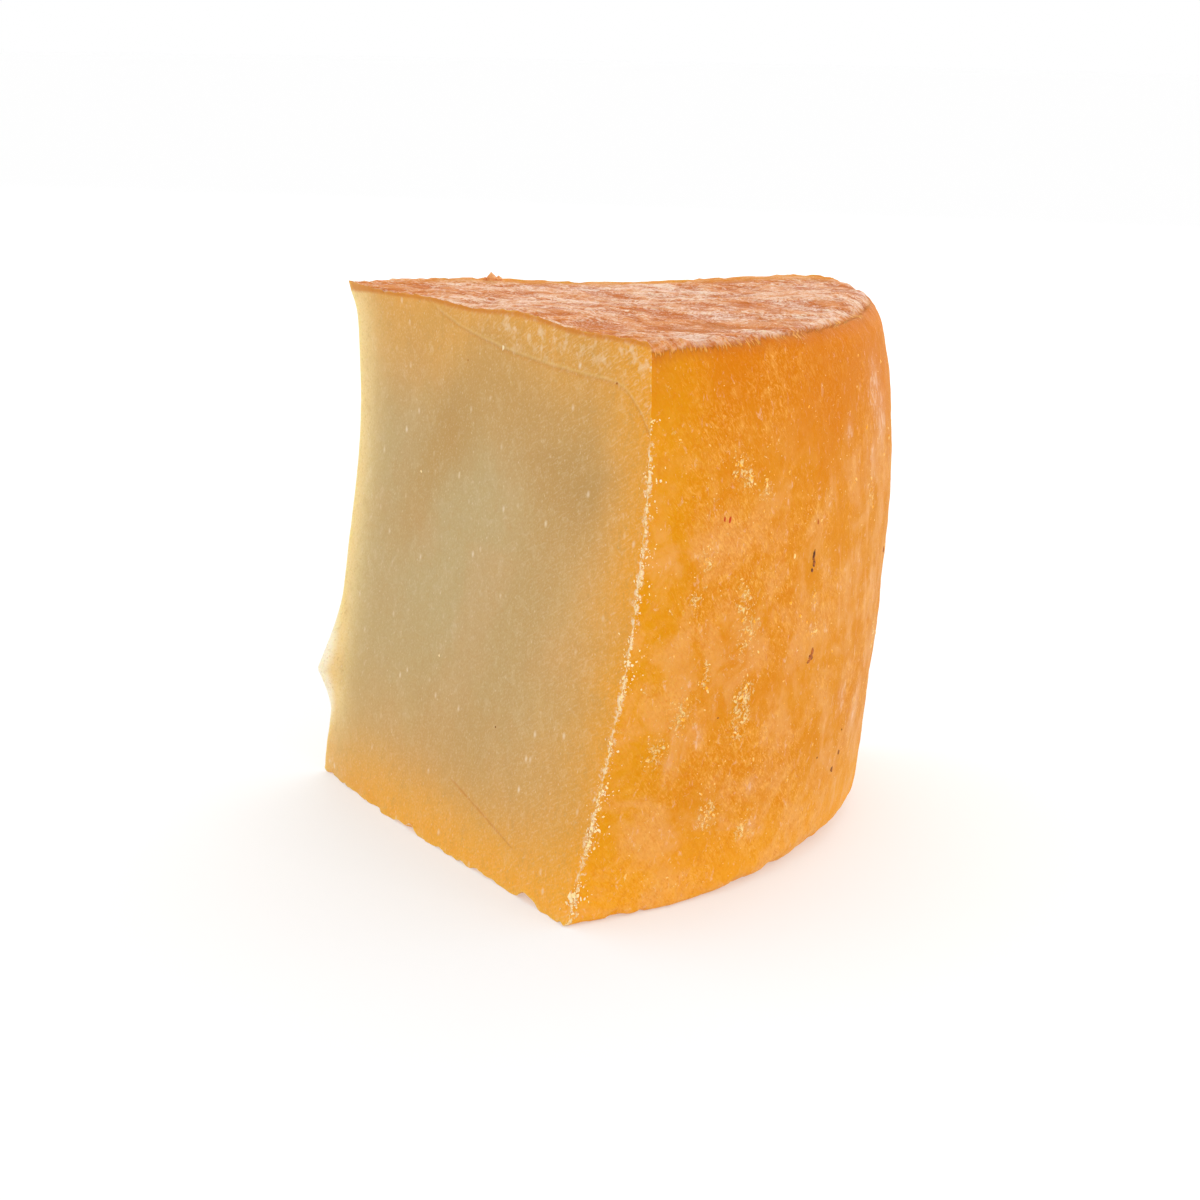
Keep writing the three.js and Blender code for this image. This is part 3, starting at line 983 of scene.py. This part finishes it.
class CHEESE_OT_crumbs(bpy.types.Operator):
    """Scatter the pale crumbs along the edge of the near cut and the rim, and the curls of skin on top"""

    bl_idname = "cheese.crumbs"
    bl_label = "Edge crumbs"

    count: IntProperty(name="Count", description="How many crumbs are tried along the edge", default=1500)
    seed: IntProperty(name="Seed", description="Changes how the crumbs fall", default=7)

    def execute(self, context):
        shape, axis = wedge_of(context.scene)
        rind = context.scene.cheese_rind
        chance = random.Random(self.seed)
        mesh = bmesh.new()
        for _ in range(self.count):
            height = chance.uniform(2, 80)
            clump = noise.noise(Vector((0, 3, height / 6))) + 0.7 * noise.noise(Vector((9, 0, height / 1.9)))
            clump += 0.12 * math.exp(-(((height - 17) / 5) ** 2)) - 0.5 * ease(71, 82, height)
            if clump < chance.uniform(-0.35, 0.6):
                continue
            size = CRUMB_SIZES[0] * chance.paretovariate(2.9) * (1 + 0.3 * max(clump, 0))
            size = min(size, CRUMB_SIZES[1]) * MM
            if chance.random() < CRUMBS_ON_RIM:
                point, out = on_rim(shape, min(chance.expovariate(1 / 0.75), 3.2), height)
            else:
                point, out = on_near_cut(shape, min(chance.expovariate(1 / 0.6), 3), height)
            long, thick = size * chance.uniform(1.1, 2.0), size * chance.uniform(0.4, 0.8)
            bit(mesh, point + axis, out, long, size, thick, chance)
        for height, from_rim, size in CRYSTALS:
            point, out = on_near_cut(shape, from_rim, height)
            bit(mesh, point + axis, out, size * 1.2 * MM, size * MM, size * 0.6 * MM, chance)
        point, out = on_near_cut(shape, 1.0, 5)
        bit(mesh, point + axis, out, 0.42 * MM, 1.0 * MM, 0.6 * MM, chance, 0.15)
        curls = bmesh.new()
        up = Vector((0, 0, 1))
        for along, inside, size in CURLS:
            point = shape.far_way * (along * MM) - shape.far_out * (inside * MM) + up * shape.wheel.height
            point = shape.swollen(point)
            bit(curls, point + axis, up, size * 1.2 * MM, size * MM, size * 1.1 * MM, chance)
        put_bits("edge_crumbs", mesh, bit_finish("edge_crumbs", axis, rind.crumb, rind.flake))
        put_bits("curled_skin", curls, bit_finish("curled_skin", axis, rind.bloom_and_sheen, rind.skin))
        return {"FINISHED"}


class CHEESE_OT_flakes(bpy.types.Operator):
    """Raise the pale flakes where the rind is scuffed, and sprinkle a few over the whole rim"""

    bl_idname = "cheese.flakes"
    bl_label = "Rind flakes"

    dense: IntProperty(name="Dense", description="How many flakes each scuffed place has", default=26)
    loose: IntProperty(name="Loose", description="How many flakes lie elsewhere on the rim", default=330)
    seed: IntProperty(name="Seed", description="Changes how the flakes fall", default=11)

    def execute(self, context):
        shape, axis = wedge_of(context.scene)
        rind = context.scene.cheese_rind
        chance = random.Random(self.seed)
        spots = []
        for arc, height, size in SCUFFS:
            for _ in range(round(self.dense * size / 2)):
                spots.append((chance.gauss(arc, size / 2), chance.gauss(height, size * 0.8)))
        around = 2 * shape.cuts.half_angle * shape.wheel.belly_radius / MM
        spots += [(chance.uniform(2, around - 2), chance.uniform(2, 84)) for _ in range(self.loose)]
        mesh = bmesh.new()
        for arc, height in spots:
            point, out = on_rim(shape, arc, height)
            size = min(FLAKE_SIZES[0] * chance.paretovariate(2.5), FLAKE_SIZES[1]) * MM
            bit(mesh, point + axis, out, size * 1.8, size, size * 0.5, chance)
        put_bits("rind_flakes", mesh, bit_finish("pale_flake", axis, rind.flake, rind.foot))
        return {"FINISHED"}


class CHEESE_OT_soot(bpy.types.Operator):
    """Set the few dark specks of soot in the rim, and the small reddish mark"""

    bl_idname = "cheese.soot"
    bl_label = "Soot specks"

    seed: IntProperty(name="Seed", description="Changes the shape of each speck", default=3)

    def execute(self, context):
        shape, axis = wedge_of(context.scene)
        rind = context.scene.cheese_rind
        chance = random.Random(self.seed)
        marks = (("soot_specks", SOOT, rind.soot, rind.furrow), ("scald_mark", SCALD, rind.scald, rind.scald))
        for name, places, dark, light in marks:
            mesh = bmesh.new()
            for arc, height, tall, wide in places:
                point, out = on_rim(shape, arc, height) if arc >= 0 else on_near_cut(shape, -arc, height)
                lie = chance.uniform(-0.3, 0.1)
                bit(mesh, point + axis, out, 1.8 * wide * MM, tall * MM, SOOT_THICKNESS * MM, chance, lie)
            put_bits(name, mesh, bit_finish(name, axis, dark, light))
        return {"FINISHED"}


class CHEESE_OT_studio(bpy.types.Operator):
    """Set up the floor, the lights and the camera"""

    bl_idname = "cheese.studio"
    bl_label = "Studio"

    def execute(self, context):
        scene = context.scene
        studio = scene.cheese_studio
        low, high = CAD_BOX
        tall = high[2] - low[2]
        centre = Vector(((low[0] + high[0]) / 2, (low[1] + high[1]) / 2, low[2]))

        mesh = bmesh.new()
        bmesh.ops.create_circle(mesh, cap_ends=True, segments=96, radius=FLOOR_RADIUS)
        bmesh.ops.translate(mesh, verts=mesh.verts, vec=centre - Vector((0, 0, FLOOR_GAP)))
        look = {
            "Base Color": (FLOOR_GREY, FLOOR_GREY, FLOOR_GREY, 1),
            "Roughness": 0.9,
            "Emission Color": WHITE,
            "Emission Strength": FLOOR_GLOW,
        }
        stand_mesh("floor", mesh, [Finish("pale_floor").end(look)])

        world = bpy.data.worlds.new("white_surroundings")
        world.use_nodes = True
        inputs = world.node_tree.nodes["Background"].inputs
        inputs["Color"].default_value, inputs["Strength"].default_value = WHITE, studio.world
        scene.world = world
        scene.view_settings.view_transform = "Standard"

        aim = centre + Vector((AIM_RIGHT, AIM_BEHIND, AIM_UP * tall))
        for name, place, size in LAMPS:
            light = bpy.data.lights.new(name, "AREA")
            light.shape, light.size, light.energy = "SQUARE", size, getattr(studio, name)
            lamp = stand(name, light)
            lamp.location = centre + Vector(place)
            lamp.rotation_euler = (aim - lamp.location).to_track_quat("-Z", "Y").to_euler()

        back = Vector((
            math.sin(studio.azimuth) * math.cos(studio.elevation),
            -math.cos(studio.azimuth) * math.cos(studio.elevation),
            math.sin(studio.elevation),
        ))
        lens = bpy.data.cameras.new("camera")
        lens.lens, lens.sensor_width = studio.lens, SENSOR_WIDTH
        camera = stand("camera", lens)
        turned = back.to_track_quat("Z", "Y").to_matrix() @ Matrix.Rotation(studio.roll, 3, "Z")
        camera.matrix_world = Matrix.Translation(aim + back * studio.distance) @ turned.to_4x4()
        scene.camera = camera
        return {"FINISHED"}


class CHEESE_PT_panel(bpy.types.Panel):
    """Lists the pieces and their settings"""

    bl_idname = "CHEESE_PT_panel"
    bl_label = "Cheese wedge"
    bl_space_type = "VIEW_3D"
    bl_region_type = "UI"
    bl_category = "Cheese"

    def draw(self, context):
        for operator in OPERATORS:
            self.layout.operator(operator.bl_idname)
        for name, group in GROUPS.items():
            box = self.layout.box()
            for setting in group.__annotations__:
                box.prop(getattr(context.scene, name), setting)


GROUPS = {
    "cheese_wheel": WheelSizes,
    "cheese_cuts": CutSizes,
    "cheese_paste": PasteColours,
    "cheese_rind": RindColours,
    "cheese_studio": StudioSettings,
}
OPERATORS = (CHEESE_OT_wedge, CHEESE_OT_crumbs, CHEESE_OT_flakes, CHEESE_OT_soot, CHEESE_OT_studio)
CLASSES = (*GROUPS.values(), *OPERATORS, CHEESE_PT_panel)


def register():
    for kind in CLASSES:
        bpy.utils.register_class(kind)
    for name, group in GROUPS.items():
        setattr(bpy.types.Scene, name, PointerProperty(type=group))


def unregister():
    for name in GROUPS:
        delattr(bpy.types.Scene, name)
    for kind in reversed(CLASSES):
        bpy.utils.unregister_class(kind)


def main():
    register()
    bpy.ops.cheese.wedge()
    bpy.ops.cheese.crumbs()
    bpy.ops.cheese.flakes()
    bpy.ops.cheese.soot()
    bpy.ops.cheese.studio()


if __name__ == "__main__":
    main()
